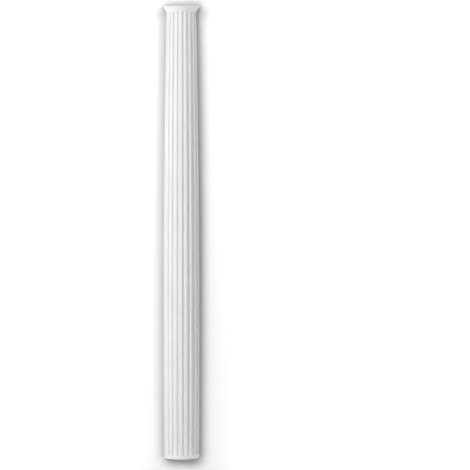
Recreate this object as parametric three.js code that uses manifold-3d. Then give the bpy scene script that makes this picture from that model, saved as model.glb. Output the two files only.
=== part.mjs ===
// A fluted half column shaft, moulded as one solid piece with a flat back that goes against a wall.
// Millimetres, +Z up along the shaft. The back lies in the plane y = 0 and the fluted front faces -Y.
// The origin is on the back, at the foot of its centreline.
//
// The shaft is turned as a whole column with twice the flutes, and sawn through its axis:
// a lathe profile gives the swelling of the shaft and the flare and rim at each end,
// and the flutes are then pressed into the lathe's surface.

import * as THREE from 'three';
import { mergeVertices } from 'three/addons/utils/BufferGeometryUtils.js';
import Module from 'manifold-3d';

// Height of the whole piece, and of its widest place
const SHAFT_HEIGHT = 2400;
const BELLY_HEIGHT = 700;

// Radius over the fillets at the widest place, and how much less it is at the foot and at the neck
const BELLY_RADIUS = 95.2;
const FOOT_NARROWING = 2.6;
const NECK_NARROWING = 16.6;

// Plain rim at the foot, which stands out a little from the shaft and narrows towards the floor,
// and the flare that runs out to it
const FOOT_RIM_PROJECTION = 3;
const FOOT_RIM_NARROWING = 2.6;
const FOOT_RIM_HEIGHT = 17;
const FOOT_FLARE_HEIGHT = 15;
const FOOT_FLARE_EASE = 6;

// Plain rim at the head, which stands well out from the neck, and its flare
const HEAD_RIM_PROJECTION = 18.9;
const HEAD_RIM_HEIGHT = 6;
const HEAD_FLARE_HEIGHT = 40;
const HEAD_FLARE_EASE = 20;

// Rounding of the rims' outer edges
const RIM_EDGE_ROUND = 1.5;

// Flutes of the half shaft. Widths and depth are taken at the belly, and narrow with the shaft.
// The hollow is the concave middle of a flute. Outside it the flute's edges are rounded over.
const FLUTE_COUNT = 10;
const FLUTE_WIDTH = 20.5;
const FLUTE_HOLLOW_WIDTH = 18.1;
const FLUTE_DEPTH = 8.8;
const FLUTES_START = 17.5;
const FLUTES_STOP_BELOW_TOP = 28.5;

// Fineness of the facets. One more facet spans each fillet.
const HOLLOW_FACETS = 7;
const FLUTE_EDGE_FACETS = 2;
const SHAFT_ROWS = 8;
const FLARE_ROWS = 10;
const RIM_EDGE_ROWS = 2;

// Points of a mesh that lie this near each other are one point
const SAME_POINT = 0.001;

// White primer
const SHAFT_COLOUR = 0xeeeeec;
const SHAFT_ROUGHNESS = 0.55;

// Places that follow from the sizes above
const footRimRadius = BELLY_RADIUS - FOOT_NARROWING + FOOT_RIM_PROJECTION;
const footFlareTop = FOOT_RIM_HEIGHT + FOOT_FLARE_HEIGHT;
const headRimRadius = BELLY_RADIUS - NECK_NARROWING + HEAD_RIM_PROJECTION;
const headRimFoot = SHAFT_HEIGHT - HEAD_RIM_HEIGHT;
const neckHeight = headRimFoot - HEAD_FLARE_HEIGHT;
const flutesStop = SHAFT_HEIGHT - FLUTES_STOP_BELOW_TOP;
const flutePitch = Math.PI / FLUTE_COUNT;
const fluteHalfWidth = FLUTE_WIDTH / 2;
const fluteHalfAngle = fluteHalfWidth / BELLY_RADIUS;
const hollowHalfWidth = FLUTE_HOLLOW_WIDTH / 2;
const steepestSlope = 2 * Math.atan(FLUTE_DEPTH / fluteHalfWidth);

// Radius of the shaft without its flares: a parabola each way from the belly.
function swellingRadius(z) {
  const [narrowing, endHeight] = z < BELLY_HEIGHT ? [FOOT_NARROWING, footFlareTop] : [NECK_NARROWING, neckHeight];
  const share = (z - BELLY_HEIGHT) / (endHeight - BELLY_HEIGHT);
  return BELLY_RADIUS - narrowing * share * share;
}

// A flare as a curve from the shaft, in whose line it starts, straight out to the rim.
function flareCurve(shaftEnd, rimEnd, rimRadius, ease) {
  const towardsRim = Math.sign(rimEnd - shaftEnd);
  const bend = shaftEnd + towardsRim * ease;
  return new THREE.QuadraticBezierCurve(
    new THREE.Vector2(swellingRadius(shaftEnd), shaftEnd),
    new THREE.Vector2(swellingRadius(bend), bend),
    new THREE.Vector2(rimRadius, rimEnd),
  );
}

// Quarter-round edge of a rim, from one direction to the next, in degrees from straight out.
function rimEdge(rimRadius, centreHeight, fromDegrees, toDegrees) {
  const points = [];
  for (let row = 0; row <= RIM_EDGE_ROWS; row += 1) {
    const turn = THREE.MathUtils.degToRad(fromDegrees + ((toDegrees - fromDegrees) * row) / RIM_EDGE_ROWS);
    points.push(new THREE.Vector2(
      rimRadius - RIM_EDGE_ROUND * (1 - Math.cos(turn)),
      centreHeight + RIM_EDGE_ROUND * Math.sin(turn),
    ));
  }
  return points;
}

// Points up the shaft from one flare to the other, without those two ends. The flutes end within the flares.
function swellingCurve() {
  const points = [];
  for (let row = 1; row < SHAFT_ROWS; row += 1) {
    const z = footFlareTop + ((neckHeight - footFlareTop) * row) / SHAFT_ROWS;
    points.push(new THREE.Vector2(swellingRadius(z), z));
  }
  return points;
}

// The outline that the lathe turns, from the axis at the foot to the axis at the head.
function latheProfile() {
  const footFlare = flareCurve(footFlareTop, FOOT_RIM_HEIGHT, footRimRadius, FOOT_FLARE_EASE);
  const headFlare = flareCurve(neckHeight, headRimFoot, headRimRadius, HEAD_FLARE_EASE);
  return [
    new THREE.Vector2(0, 0),
    ...rimEdge(footRimRadius - FOOT_RIM_NARROWING, RIM_EDGE_ROUND, -90, 0),
    ...footFlare.getPoints(FLARE_ROWS).reverse(),
    ...swellingCurve(),
    ...headFlare.getPoints(FLARE_ROWS),
    ...rimEdge(headRimRadius, SHAFT_HEIGHT - RIM_EDGE_ROUND, 0, 90),
    new THREE.Vector2(0, SHAFT_HEIGHT),
  ];
}

// Depth of a flute at a distance from its centreline, both as at the belly:
// an arc for the hollow, and an arc the other way for the rounded edge, meeting in one slope.
function fluteSection(distance) {
  if (distance < hollowHalfWidth) {
    const hollowRadius = hollowHalfWidth / Math.sin(steepestSlope);
    return FLUTE_DEPTH - hollowRadius + Math.sqrt(hollowRadius ** 2 - distance ** 2);
  }
  const edgeRadius = (fluteHalfWidth - hollowHalfWidth) / Math.sin(steepestSlope);
  return edgeRadius - Math.sqrt(edgeRadius ** 2 - (fluteHalfWidth - distance) ** 2);
}

// Distances from a flute's centreline at which the facets meet, evenly spaced round each arc of its section.
function facetEdgesAcrossFlute() {
  const shareOfArc = (slope) => Math.sin(slope) / Math.sin(steepestSlope);
  const hollow = [];
  for (let facet = 0; facet <= HOLLOW_FACETS; facet += 1) {
    hollow.push(hollowHalfWidth * shareOfArc(steepestSlope * ((2 * facet) / HOLLOW_FACETS - 1)));
  }
  const edge = [];
  for (let facet = 1; facet <= FLUTE_EDGE_FACETS; facet += 1) {
    const slope = steepestSlope * (1 - facet / FLUTE_EDGE_FACETS);
    edge.push(fluteHalfWidth - (fluteHalfWidth - hollowHalfWidth) * shareOfArc(slope));
  }
  return [...edge.map((distance) => -distance).reverse(), ...hollow, ...edge];
}

// Depth of the flutes at a place on the surface. Each flute is closed by a half round at both ends.
function fluteDepth(angle, z, radius) {
  const flutesPassed = angle / flutePitch;
  const fromCentre = (flutesPassed - Math.floor(flutesPassed) - 0.5) * flutePitch;
  const endRound = fluteHalfAngle * radius;
  const pastEnd = Math.max(0, FLUTES_START + endRound - z, z - (flutesStop - endRound)) / endRound;
  const share = Math.hypot(fromCentre / fluteHalfAngle, pastEnd);
  if (share >= 1) return 0;
  return (fluteSection(share * fluteHalfWidth) * radius) / BELLY_RADIUS;
}

// The whole column. The lathe turns it with even facets, and these are gathered where the flutes curve most
// while the flutes are pressed in.
function flutedColumn() {
  const across = facetEdgesAcrossFlute();
  const facets = 2 * FLUTE_COUNT * across.length;
  const turned = new THREE.LatheGeometry(latheProfile(), facets);
  turned.rotateX(Math.PI / 2);
  turned.deleteAttribute('normal');
  turned.deleteAttribute('uv');
  const geometry = mergeVertices(turned, SAME_POINT);
  const place = geometry.attributes.position;
  for (let i = 0; i < place.count; i += 1) {
    const radius = Math.hypot(place.getX(i), place.getY(i));
    if (radius > SAME_POINT) {
      const turns = Math.atan2(place.getX(i), -place.getY(i)) / (2 * Math.PI) + 1;
      const column = Math.round(turns * facets) % facets;
      const flute = Math.floor(column / across.length);
      const angle = (flute + 0.5) * flutePitch + across[column % across.length] / BELLY_RADIUS;
      const reach = radius - fluteDepth(angle, place.getZ(i), radius);
      place.setXY(i, reach * Math.sin(angle), -reach * Math.cos(angle));
    }
  }
  return geometry;
}

// manifold-3d saws the column through its axis.
const wasm = await Module();
wasm.setup();

function toSolid(geometry) {
  return new wasm.Manifold(new wasm.Mesh({
    numProp: 3,
    vertProperties: new Float32Array(geometry.attributes.position.array),
    triVerts: new Uint32Array(geometry.index.array),
  }));
}

function toGeometry(solid) {
  const mesh = solid.getMesh();
  const geometry = new THREE.BufferGeometry();
  geometry.setAttribute('position', new THREE.BufferAttribute(mesh.vertProperties, 3));
  geometry.setIndex(new THREE.BufferAttribute(mesh.triVerts, 1));
  geometry.computeVertexNormals();
  return geometry;
}

// A block that fills all the space behind the plane of the back.
function blockBehindBack() {
  const span = 4 * (SHAFT_HEIGHT + Math.max(footRimRadius, BELLY_RADIUS, headRimRadius));
  const box = new THREE.BoxGeometry(span, span, span);
  box.translate(0, span / 2, 0);
  box.deleteAttribute('normal');
  box.deleteAttribute('uv');
  return mergeVertices(box, SAME_POINT);
}

function halfShaft() {
  const half = toSolid(flutedColumn()).subtract(toSolid(blockBehindBack()));
  const mesh = new THREE.Mesh(
    toGeometry(half),
    new THREE.MeshStandardMaterial({ color: SHAFT_COLOUR, roughness: SHAFT_ROUGHNESS, metalness: 0 }),
  );
  mesh.name = 'shaft';
  return mesh;
}

const halfColumn = new THREE.Group();
halfColumn.add(halfShaft());

export default halfColumn;
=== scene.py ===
import math

import bpy
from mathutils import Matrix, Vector


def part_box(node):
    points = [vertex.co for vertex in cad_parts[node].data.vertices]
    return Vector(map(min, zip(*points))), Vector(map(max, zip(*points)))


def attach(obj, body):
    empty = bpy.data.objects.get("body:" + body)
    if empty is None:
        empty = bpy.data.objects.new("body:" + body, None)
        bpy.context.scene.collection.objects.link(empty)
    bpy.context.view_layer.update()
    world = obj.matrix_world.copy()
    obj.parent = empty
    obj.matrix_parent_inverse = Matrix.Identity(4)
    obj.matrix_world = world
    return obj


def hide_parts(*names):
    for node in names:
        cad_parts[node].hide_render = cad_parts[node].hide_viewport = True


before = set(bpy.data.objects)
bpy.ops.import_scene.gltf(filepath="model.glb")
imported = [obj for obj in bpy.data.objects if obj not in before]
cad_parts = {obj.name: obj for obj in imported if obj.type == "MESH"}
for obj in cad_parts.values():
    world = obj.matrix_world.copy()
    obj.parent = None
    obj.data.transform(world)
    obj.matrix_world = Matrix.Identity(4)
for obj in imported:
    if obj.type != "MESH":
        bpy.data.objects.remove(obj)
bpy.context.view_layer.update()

# A half column shaft of primed rigid foam, fixed with its flat back to a wall.
# Metres, +Z up. The back lies in the plane y = 0 and the fluted front faces -Y.

# The shaft, taken from the solid that it stands for
shaft_low, shaft_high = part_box("shaft")
HEIGHT = shaft_high.z - shaft_low.z
HEAD_RIM_RADIUS = (shaft_high.x - shaft_low.x) / 2

# Swelling of the shaft: radius over the fillets and height of its widest place,
# and how much less the radius is at the foot and at the neck
BELLY_RADIUS = 0.0952
BELLY_HEIGHT = 0.700
FOOT_NARROWING = 0.0026
NECK_NARROWING = 0.0166

# Rim at the foot, which narrows towards the floor, and the flare above it
FOOT_RIM_PROJECTION = 0.0030
FOOT_RIM_NARROWING = 0.0026
FOOT_RIM_HEIGHT = 0.017
FOOT_FLARE_HEIGHT = 0.015
FOOT_FLARE_EASE = 0.006

# Rim at the head, and the flare below it
HEAD_RIM_HEIGHT = 0.006
HEAD_FLARE_HEIGHT = 0.040
HEAD_FLARE_EASE = 0.020

# Rounded edges
RIM_EDGE_ROUND = 0.0015
BACK_EDGE_ROUND = 0.0010

# Flutes, with widths and depth as at the belly
FLUTE_COUNT = 10
FLUTE_WIDTH = 0.0205
FLUTE_HOLLOW_WIDTH = 0.0181
FLUTE_DEPTH = 0.0088
FLUTES_START = 0.0175
FLUTES_STOP_BELOW_TOP = 0.0285

# Fineness of the mesh
HOLLOW_COLUMNS = 20
FLUTE_EDGE_COLUMNS = 6
FILLET_COLUMNS = 4
EDGE_STEPS = 4
FLARE_STEPS = 32
SHAFT_STEPS = 40

# The photograph's frame: a square, with the back corners of the shaft at these rows,
# and its middle in this column
PHOTO_SIDE = 470
TOP_ROW = 6.7
FOOT_ROW = 458.6
MIDDLE_COLUMN = 181.5

# Where the camera stands, and how far it sees
CAMERA_DISTANCE = 15.5
EYE_HEIGHT = 2.0
CAMERA_SEES_TO = 100

# Places that follow from the sizes above
foot_radius = BELLY_RADIUS - FOOT_NARROWING
neck_radius = BELLY_RADIUS - NECK_NARROWING
foot_rim_radius = foot_radius + FOOT_RIM_PROJECTION
foot_flare_top = FOOT_RIM_HEIGHT + FOOT_FLARE_HEIGHT
head_rim_foot = HEIGHT - HEAD_RIM_HEIGHT
neck_height = head_rim_foot - HEAD_FLARE_HEIGHT
flutes_stop = HEIGHT - FLUTES_STOP_BELOW_TOP
flute_pitch = math.pi / FLUTE_COUNT
flute_half_width = FLUTE_WIDTH / 2
flute_half_angle = flute_half_width / BELLY_RADIUS
hollow_half_width = FLUTE_HOLLOW_WIDTH / 2
steepest_slope = 2 * math.atan(FLUTE_DEPTH / flute_half_width)
photo_metres_per_pixel = HEIGHT / (FOOT_ROW - TOP_ROW)


# The shaft's form

def swelling_radius(z):
    """Radius of the shaft without its flares: a parabola each way from the belly."""
    if z < BELLY_HEIGHT:
        narrowing, end_height = FOOT_NARROWING, foot_flare_top
    else:
        narrowing, end_height = NECK_NARROWING, neck_height
    share = (z - BELLY_HEIGHT) / (end_height - BELLY_HEIGHT)
    return BELLY_RADIUS - narrowing * share * share


def flare(shaft_end, rim_end, rim_radius, ease):
    """Radius and height of points along a flare, which leaves the shaft in the shaft's own line."""
    bend_height = shaft_end + math.copysign(ease, rim_end - shaft_end)
    start = Vector((swelling_radius(shaft_end), shaft_end))
    bend = Vector((swelling_radius(bend_height), bend_height))
    end = Vector((rim_radius, rim_end))
    points = []
    for step in range(FLARE_STEPS + 1):
        t = step / FLARE_STEPS
        points.append(start * (1 - t) ** 2 + bend * 2 * t * (1 - t) + end * t * t)
    return points


def rim_edge(rim_radius, centre_height, from_degrees, to_degrees):
    """Radius and height of points round the edge of a rim."""
    points = []
    for step in range(EDGE_STEPS + 1):
        turn = math.radians(from_degrees + (to_degrees - from_degrees) * step / EDGE_STEPS)
        radius = rim_radius - RIM_EDGE_ROUND * (1 - math.cos(turn))
        points.append(Vector((radius, centre_height + RIM_EDGE_ROUND * math.sin(turn))))
    return points


def spread(start, end, steps):
    """Evenly spaced values from the start on, without the end."""
    return [start + (end - start) * step / steps for step in range(steps)]


def outline():
    """Radius and height up the front of the shaft, from the edge of the foot to the edge of the head."""
    heights = spread(foot_flare_top, neck_height, SHAFT_STEPS)[1:]
    shaft = [Vector((swelling_radius(z), z)) for z in heights]
    return [
        *rim_edge(foot_rim_radius - FOOT_RIM_NARROWING, RIM_EDGE_ROUND, -90, 0),
        *reversed(flare(foot_flare_top, FOOT_RIM_HEIGHT, foot_rim_radius, FOOT_FLARE_EASE)),
        *shaft,
        *flare(neck_height, head_rim_foot, HEAD_RIM_RADIUS, HEAD_FLARE_EASE),
        *rim_edge(HEAD_RIM_RADIUS, HEIGHT - RIM_EDGE_ROUND, 0, 90),
    ]


def flute_section(distance):
    """Depth of a flute at a distance from its centreline: an arc for the hollow,
    and an arc the other way for the rounded edge, meeting in one slope."""
    if distance < hollow_half_width:
        hollow_radius = hollow_half_width / math.sin(steepest_slope)
        return FLUTE_DEPTH - hollow_radius + math.sqrt(hollow_radius ** 2 - distance ** 2)
    edge_radius = (flute_half_width - hollow_half_width) / math.sin(steepest_slope)
    return edge_radius - math.sqrt(edge_radius ** 2 - (flute_half_width - distance) ** 2)


def flute_depth(angle, z, radius):
    """Depth of the flutes at a place on the surface. Each flute is closed by a half round at both ends."""
    flutes_passed = (angle + math.pi / 2) / flute_pitch
    from_centre = (flutes_passed - math.floor(flutes_passed) - 0.5) * flute_pitch
    end_round = flute_half_angle * radius
    past_end = max(0, FLUTES_START + end_round - z, z - (flutes_stop - end_round)) / end_round
    share = math.hypot(from_centre / flute_half_angle, past_end)
    if share >= 1:
        return 0
    return flute_section(share * flute_half_width) * radius / BELLY_RADIUS


def columns_across_flute():
    """Distances from a flute's centreline, evenly spaced round each arc of its section."""
    hollow = []
    for column in range(HOLLOW_COLUMNS + 1):
        slope = steepest_slope * (2 * column / HOLLOW_COLUMNS - 1)
        hollow.append(hollow_half_width * math.sin(slope) / math.sin(steepest_slope))
    edge = []
    for column in range(1, FLUTE_EDGE_COLUMNS + 1):
        slope = steepest_slope * (1 - column / FLUTE_EDGE_COLUMNS)
        inward = (flute_half_width - hollow_half_width) * math.sin(slope) / math.sin(steepest_slope)
        edge.append(flute_half_width - inward)
    return [-distance for distance in reversed(edge)] + hollow + edge


def column_angles():
    """Angles from the front at which the mesh has its columns, on the flutes and the fillets between."""
    across = columns_across_flute()
    angles = []
    for flute in range(FLUTE_COUNT):
        middle = (flute + 0.5) * flute_pitch - math.pi / 2
        angles += [middle + distance / BELLY_RADIUS for distance in across]
        if flute < FLUTE_COUNT - 1:
            after = middle + flute_pitch - flute_half_angle
            angles += spread(angles[-1], after, FILLET_COLUMNS)[1:]
    return angles


def row_of_points(radius, z, angles):
    """One level of the shaft, from its left back edge round the front to its right back edge."""
    side_angle = math.pi / 2 - math.asin(BACK_EDGE_ROUND / radius)
    front = []
    for angle in [-side_angle, *angles, side_angle]:
        reach = radius - flute_depth(angle, z, radius)
        front.append((reach * math.sin(angle), -reach * math.cos(angle), z))
    edge = []
    for step in range(1, EDGE_STEPS + 1):
        turn = math.pi / 2 * step / EDGE_STEPS
        inward = BACK_EDGE_ROUND * (1 - math.cos(turn))
        edge.append((front[-1][0] - inward, -BACK_EDGE_ROUND * (1 - math.sin(turn)), z))
    mirrored = [(-x, y, z) for x, y, z in reversed(edge)]
    return mirrored + front + edge


def make_object(name, points, faces):
    mesh = bpy.data.meshes.new(name)
    mesh.from_pydata(points, [], faces)
    made = bpy.data.objects.new(name, mesh)
    bpy.context.scene.collection.objects.link(made)
    return made


def make_shaft():
    """The front as smooth rows of faces, and the back and both ends flat."""
    angles = column_angles()
    rows = [row_of_points(radius, z, angles) for radius, z in outline()]
    width = len(rows[0])
    points = [point for row in rows for point in row]
    faces = []
    smooth = []
    for row in range(len(rows) - 1):
        low = row * width
        high = low + width
        for column in range(width - 1):
            faces.append((low + column, low + column + 1, high + column + 1, high + column))
            smooth.append(True)
        faces.append((low + width - 1, low, high, high + width - 1))
        smooth.append(False)
    top_row = (len(rows) - 1) * width
    for start, z, facing_down in ((0, 0, True), (top_row, HEIGHT, False)):
        middle = len(points)
        points.append((0, -foot_radius / 2, z))
        for column in range(width):
            here = start + column
            after = start + (column + 1) % width
            faces.append((middle, after, here) if facing_down else (middle, here, after))
            smooth.append(False)
    piece = make_object("moulded_shaft", points, faces)
    piece.data.polygons.foreach_set("use_smooth", smooth)
    piece.data.update()
    piece.data.validate()
    return piece


# Materials

# How fine a texture's noise is
NOISE_DETAIL = 2.0
DEEP_NOISE_DETAIL = 3.0

# The Mix node has several sockets of one name, so its colour ones go by number
MIX_SHARE = 0
MIX_FIRST_COLOUR = 6
MIX_SECOND_COLOUR = 7
MIX_COLOUR = 2


class Wire:
    """One output socket of a shader tree. Arithmetic on it adds Math nodes."""

    def __init__(self, bench, socket):
        self.bench = bench
        self.socket = socket

    def math(self, operation, first, second):
        return self.bench.node("ShaderNodeMath", {"operation": operation}, {0: first, 1: second})

    def __add__(self, other):
        return self.math("ADD", self, other)

    def __radd__(self, other):
        return self.math("ADD", other, self)

    def __sub__(self, other):
        return self.math("SUBTRACT", self, other)

    def __rsub__(self, other):
        return self.math("SUBTRACT", other, self)

    def __mul__(self, other):
        return self.math("MULTIPLY", self, other)

    def __rmul__(self, other):
        return self.math("MULTIPLY", other, self)


class Bench:
    """A material's shader tree, emptied and ready for nodes."""

    def __init__(self, owner):
        owner.use_nodes = True
        self.tree = owner.node_tree
        self.tree.nodes.clear()

    def node(self, kind, settings, values, output=0):
        """Adds a node, sets it, then fills its sockets with values or wires.
        Returns one of its outputs, if it has any."""
        made = self.tree.nodes.new(kind)
        for name, value in settings.items():
            setattr(made, name, value)
        for name, value in values.items():
            if isinstance(value, Wire):
                self.tree.links.new(value.socket, made.inputs[name])
            else:
                made.inputs[name].default_value = value
        return Wire(self, made.outputs[output]) if made.outputs else None

    def noise(self, place, scale, detail=NOISE_DETAIL):
        values = {"Vector": place, "Scale": scale, "Detail": detail}
        return self.node("ShaderNodeTexNoise", {}, values, "Fac")

    def streaks(self, place, per_metre, detail=NOISE_DETAIL):
        """Noise with a different number of lumps to a metre along each axis."""
        stretched = self.node("ShaderNodeVectorMath", {"operation": "MULTIPLY"}, {0: place, 1: per_metre})
        return self.noise(stretched, 1.0, detail)

    def blend(self, share, first, second):
        """Mixes two colours."""
        settings = {"data_type": "RGBA", "clamp_factor": True}
        values = {MIX_SHARE: share, MIX_FIRST_COLOUR: first, MIX_SECOND_COLOUR: second}
        return self.node("ShaderNodeMix", settings, values, MIX_COLOUR)

    def between(self, value, low, high):
        """Goes from 0 at low to 1 at high, and stays there."""
        settings = {"interpolation_type": "SMOOTHSTEP"}
        values = {"Value": value, "From Min": low, "From Max": high, "To Min": 0.0, "To Max": 1.0}
        return self.node("ShaderNodeMapRange", settings, values)


# The primer thins out over the rounded back edge, from the first of these depths to the second
PRIMER_THINS = -0.0009
FOAM_BARE = -0.0002

# Textures of the primed skin, by how many lumps go to a metre: clouds in its tint,
# lines drawn up the shaft by its mould, orange peel, and grit
CLOUDS = 5.0
MOULD_LINES = (160.0, 160.0, 1.5)
PEEL = 420.0
GRIT = 1500.0

# Textures of the bare back: cut cells, and marks of the sanding across it
CELLS = 650.0
SANDING_MARKS = (30.0, 30.0, 700.0)

# Colours. The peel and the sanding tint only a share of the surface.
PRIMER_COLOUR = (0.755, 0.755, 0.750, 1)
PRIMER_PALE_COLOUR = (0.785, 0.785, 0.782, 1)
PRIMER_PEEL_COLOUR = (0.73, 0.73, 0.725, 1)
PEEL_TINT_SHARE = 0.35
CELL_COLOUR = (0.62, 0.58, 0.48, 1)
FOAM_COLOUR = (0.74, 0.70, 0.60, 1)
SANDED_COLOUR = (0.79, 0.76, 0.67, 1)
SANDED_TINT_SHARE = 0.4

# Relief of each texture, as shares of the bump's height
MOULD_LINE_RELIEF = 0.08
PEEL_RELIEF = 0.6
GRIT_RELIEF = 0.3
CELL_RELIEF = 0.7
SANDING_RELIEF = 0.3
FOAM_RELIEF = 2.0
BUMP_STRENGTH = 0.35
BUMP_HEIGHT = 0.0002

# Shine
PRIMER_ROUGHNESS = 0.44
CLOUD_ROUGHNESS = 0.10
GRIT_ROUGHNESS = 0.06
FOAM_ROUGHNESS = 0.85
PRIMER_IOR = 1.46


def primed_foam():
    """White primer over a moulded foam skin, and the bare sanded foam of the back."""
    material = bpy.data.materials.new("primed_foam")
    bench = Bench(material)
    place = bench.node("ShaderNodeTexCoord", {}, {}, "Object")
    depth = bench.node("ShaderNodeSeparateXYZ", {}, {0: place}, "Y")
    bare = bench.between(depth, PRIMER_THINS, FOAM_BARE)

    cloud = bench.noise(place, CLOUDS, DEEP_NOISE_DETAIL)
    mould_line = bench.streaks(place, MOULD_LINES, DEEP_NOISE_DETAIL)
    peel = bench.noise(place, PEEL)
    grit = bench.noise(place, GRIT)
    cell = bench.node("ShaderNodeTexVoronoi", {}, {"Vector": place, "Scale": CELLS}, "Distance")
    sanding = bench.streaks(place, SANDING_MARKS)

    primer = bench.blend(cloud, PRIMER_COLOUR, PRIMER_PALE_COLOUR)
    primer = bench.blend(peel * PEEL_TINT_SHARE, primer, PRIMER_PEEL_COLOUR)
    foam = bench.blend(cell, CELL_COLOUR, FOAM_COLOUR)
    foam = bench.blend(sanding * SANDED_TINT_SHARE, foam, SANDED_COLOUR)

    skin_height = mould_line * MOULD_LINE_RELIEF + peel * PEEL_RELIEF + grit * GRIT_RELIEF
    foam_height = cell * CELL_RELIEF + sanding * SANDING_RELIEF
    height = skin_height * (1 - bare) + foam_height * bare * FOAM_RELIEF
    relief = {"Strength": BUMP_STRENGTH, "Distance": BUMP_HEIGHT, "Height": height}
    skin_roughness = PRIMER_ROUGHNESS + cloud * CLOUD_ROUGHNESS + grit * GRIT_ROUGHNESS
    surface = bench.node("ShaderNodeBsdfPrincipled", {}, {
        "Base Color": bench.blend(bare, primer, foam),
        "Roughness": skin_roughness * (1 - bare) + FOAM_ROUGHNESS * bare,
        "Normal": bench.node("ShaderNodeBump", {}, relief, "Normal"),
        "IOR": PRIMER_IOR,
    })
    bench.node("ShaderNodeOutputMaterial", {}, {"Surface": surface})
    return material


# The wall and floor of the studio

WALL_HALF_WIDTH = 3.0
WALL_TOP = 4.2
WALL_COLOUR = (0.96, 0.96, 0.96, 1)

# How far the wall is behind the shaft's back, and its opening inside the back's outline
WALL_GAP = 0.001
WALL_OPENING_INSET = 0.002

FLOOR_HEIGHT = -0.30
FLOOR_REACH = 6.0
FLOOR_COLOUR = (0.85, 0.85, 0.85, 1)

# Shade painted into the wall's colour close to the shaft. The direction leans up and to the left,
# so most of the painted shade falls below the shaft and to its right.
SHADE_COLOUR = (0.08, 0.08, 0.08, 1)
SHADE_REACH = 0.07
SHADE_DIRECTION = (-0.05, -0.94, 0.34)
SHADE_SAMPLES = 16

# The wall's painted glow, which grows with the distance to the side and is cut down close to the shaft
NO_GLOW = (0, 0, 0, 1)
NEAR_GLOW = (0.01, 0.01, 0.01, 1)
FAR_GLOW = (0.40, 0.40, 0.40, 1)
FAR_GLOW_START = 0.10
FAR_GLOW_FULL = 0.60

# Light that the wall right of the shaft's middle throws back on the shaft
BOUNCE_GLOW = (0.44, 0.44, 0.44, 1)

# The room's light on the shaft, as a share of how bright the room looks
ROOM_LIGHT = 0.06
ROOM_COLOUR = (1, 1, 1, 1)


def wall_paint():
    """Matt white seen from the front, and open from behind, so that the back of the shaft can be looked at.
    It has painted shade close to the shaft, most below it and to its right, and a painted glow that is
    evenly white far from it.
    Light that it throws back on the shaft's right side is stronger than it looks."""
    material = bpy.data.materials.new("wall_paint")
    bench = Bench(material)
    open_side = bench.node("ShaderNodeCombineXYZ", {}, dict(enumerate(SHADE_DIRECTION)))
    around = {"Distance": SHADE_REACH, "Normal": open_side}
    openness = bench.node("ShaderNodeAmbientOcclusion", {"samples": SHADE_SAMPLES}, around, "AO")
    # Painted shade: the wall's colour goes towards the shade colour where the shaft hides the wall's
    # surroundings
    colour = bench.blend((openness + openness * openness) * 0.5, SHADE_COLOUR, WALL_COLOUR)
    place = bench.node("ShaderNodeTexCoord", {}, {}, "Object")
    across = bench.node("ShaderNodeSeparateXYZ", {}, {0: place}, "X")
    from_middle = bench.node("ShaderNodeMath", {"operation": "ABSOLUTE"}, {0: across})
    far = bench.between(from_middle, FAR_GLOW_START, FAR_GLOW_FULL)
    # Painted glow, darkened close to the shaft by the same occlusion as the painted shade
    glow = bench.blend(openness, NO_GLOW, bench.blend(far, NEAR_GLOW, FAR_GLOW))
    seen = bench.node("ShaderNodeLightPath", {}, {}, "Is Camera Ray")
    bounce = bench.between(across, 0.0, neck_radius) * (1 - seen)
    paint = bench.node("ShaderNodeBsdfPrincipled", {}, {
        "Base Color": colour,
        "Roughness": 1.0,
        "Specular IOR Level": 0.0,
        "Emission Color": bench.blend(bounce, glow, BOUNCE_GLOW),
        "Emission Strength": 1.0,
    })
    clear = bench.node("ShaderNodeBsdfTransparent", {}, {})
    behind = bench.node("ShaderNodeNewGeometry", {}, {}, "Backfacing")
    surface = bench.node("ShaderNodeMixShader", {}, {0: behind, 1: paint, 2: clear})
    bench.node("ShaderNodeOutputMaterial", {}, {"Surface": surface})
    return material


def floor_paint():
    material = bpy.data.materials.new("floor_paint")
    bench = Bench(material)
    paint = bench.node("ShaderNodeBsdfDiffuse", {}, {"Color": FLOOR_COLOUR})
    bench.node("ShaderNodeOutputMaterial", {}, {"Surface": paint})
    return material


def make_wall():
    """A wall behind the shaft, with an opening just inside the shaft's outline,
    so that light reaches the shaft's back."""
    inset = WALL_OPENING_INSET
    opening = []
    for radius, z in outline()[EDGE_STEPS:-EDGE_STEPS]:
        opening.append((radius - inset, max(inset, min(z, HEIGHT - inset))))
    rows = [(opening[0][0], FLOOR_HEIGHT), *opening, (opening[-1][0], WALL_TOP)]
    points = []
    for half, z in rows:
        points += [(x, WALL_GAP, z) for x in (-WALL_HALF_WIDTH, -half, half, WALL_HALF_WIDTH)]
    faces = []
    for row in range(len(rows) - 1):
        below_or_above = row in (0, len(rows) - 2)
        for column in (0, 1, 2) if below_or_above else (0, 2):
            corner = 4 * row + column
            faces.append((corner, corner + 1, corner + 5, corner + 4))
    wall = make_object("wall", points, faces)
    wall.data.materials.append(wall_paint())


def make_floor():
    reach = FLOOR_REACH
    corners = [(-reach, -reach), (reach, -reach), (reach, reach), (-reach, reach)]
    floor = make_object("floor", [(x, y, FLOOR_HEIGHT) for x, y in corners], [(0, 1, 2, 3)])
    floor.data.materials.append(floor_paint())


# Camera and lights

LIGHT_DISTANCE = 4.0
LIGHT_SIDE = 1.2

# Name, degrees round from the front with right positive, degrees up, and power
LIGHTS = [
    ("key_high", -50, 35, 59),
    ("key_low", -35, 5, 58),
    ("front_low", -20, 5, 16),
    ("fill_high", 50, 35, 38),
    ("fill_top", 50, 65, 16),
    ("back_light", 160, 40, 45),
]


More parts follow.
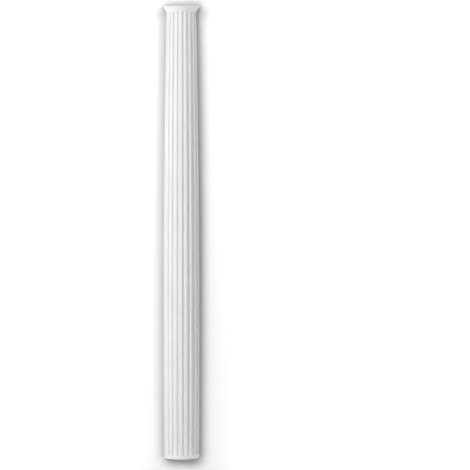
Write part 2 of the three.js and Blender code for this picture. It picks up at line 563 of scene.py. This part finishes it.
def make_camera():
    """Straight in front of the middle of the photograph, far off, and a little above the shaft's middle."""
    middle = (PHOTO_SIDE / 2 - MIDDLE_COLUMN) * photo_metres_per_pixel
    aim_height = HEIGHT - (PHOTO_SIDE / 2 - TOP_ROW) * photo_metres_per_pixel
    data = bpy.data.cameras.new("camera")
    camera = bpy.data.objects.new("camera", data)
    camera.location = (middle, -CAMERA_DISTANCE, EYE_HEIGHT)
    aim = Vector((middle, 0, aim_height)) - camera.location
    camera.rotation_euler = aim.to_track_quat("-Z", "Y").to_euler()
    data.lens = data.sensor_width * aim.length / (PHOTO_SIDE * photo_metres_per_pixel)
    data.clip_end = CAMERA_SEES_TO
    bpy.context.scene.collection.objects.link(camera)
    bpy.context.scene.camera = camera


def make_softbox(name, azimuth, elevation, power):
    """A square light that faces the middle of the shaft."""
    data = bpy.data.lights.new(name, "AREA")
    data.size = LIGHT_SIDE
    data.energy = power
    light = bpy.data.objects.new(name, data)
    turn = math.radians(azimuth)
    rise = math.radians(elevation)
    away = Vector((math.sin(turn) * math.cos(rise), -math.cos(turn) * math.cos(rise), math.sin(rise)))
    light.location = Vector((0, 0, HEIGHT / 2)) + away * LIGHT_DISTANCE
    light.rotation_euler = (-away).to_track_quat("-Z", "Y").to_euler()
    bpy.context.scene.collection.objects.link(light)


def make_surroundings():
    """A white room seen past the wall, which lights the shaft evenly and more dimly than it looks."""
    world = bpy.data.worlds.new("room")
    bpy.context.scene.world = world
    bench = Bench(world)
    seen = bench.node("ShaderNodeLightPath", {}, {}, "Is Camera Ray")
    strength = ROOM_LIGHT + seen * (1 - ROOM_LIGHT)
    glow = bench.node("ShaderNodeBackground", {}, {"Color": ROOM_COLOUR, "Strength": strength})
    bench.node("ShaderNodeOutputWorld", {}, {"Surface": glow})


make_camera()
for light in LIGHTS:
    make_softbox(*light)
make_surroundings()
make_wall()
make_floor()

shaft = make_shaft()
shaft.data.materials.append(primed_foam())
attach(shaft, "root")
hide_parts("shaft")

bpy.context.scene.view_settings.view_transform = "Standard"
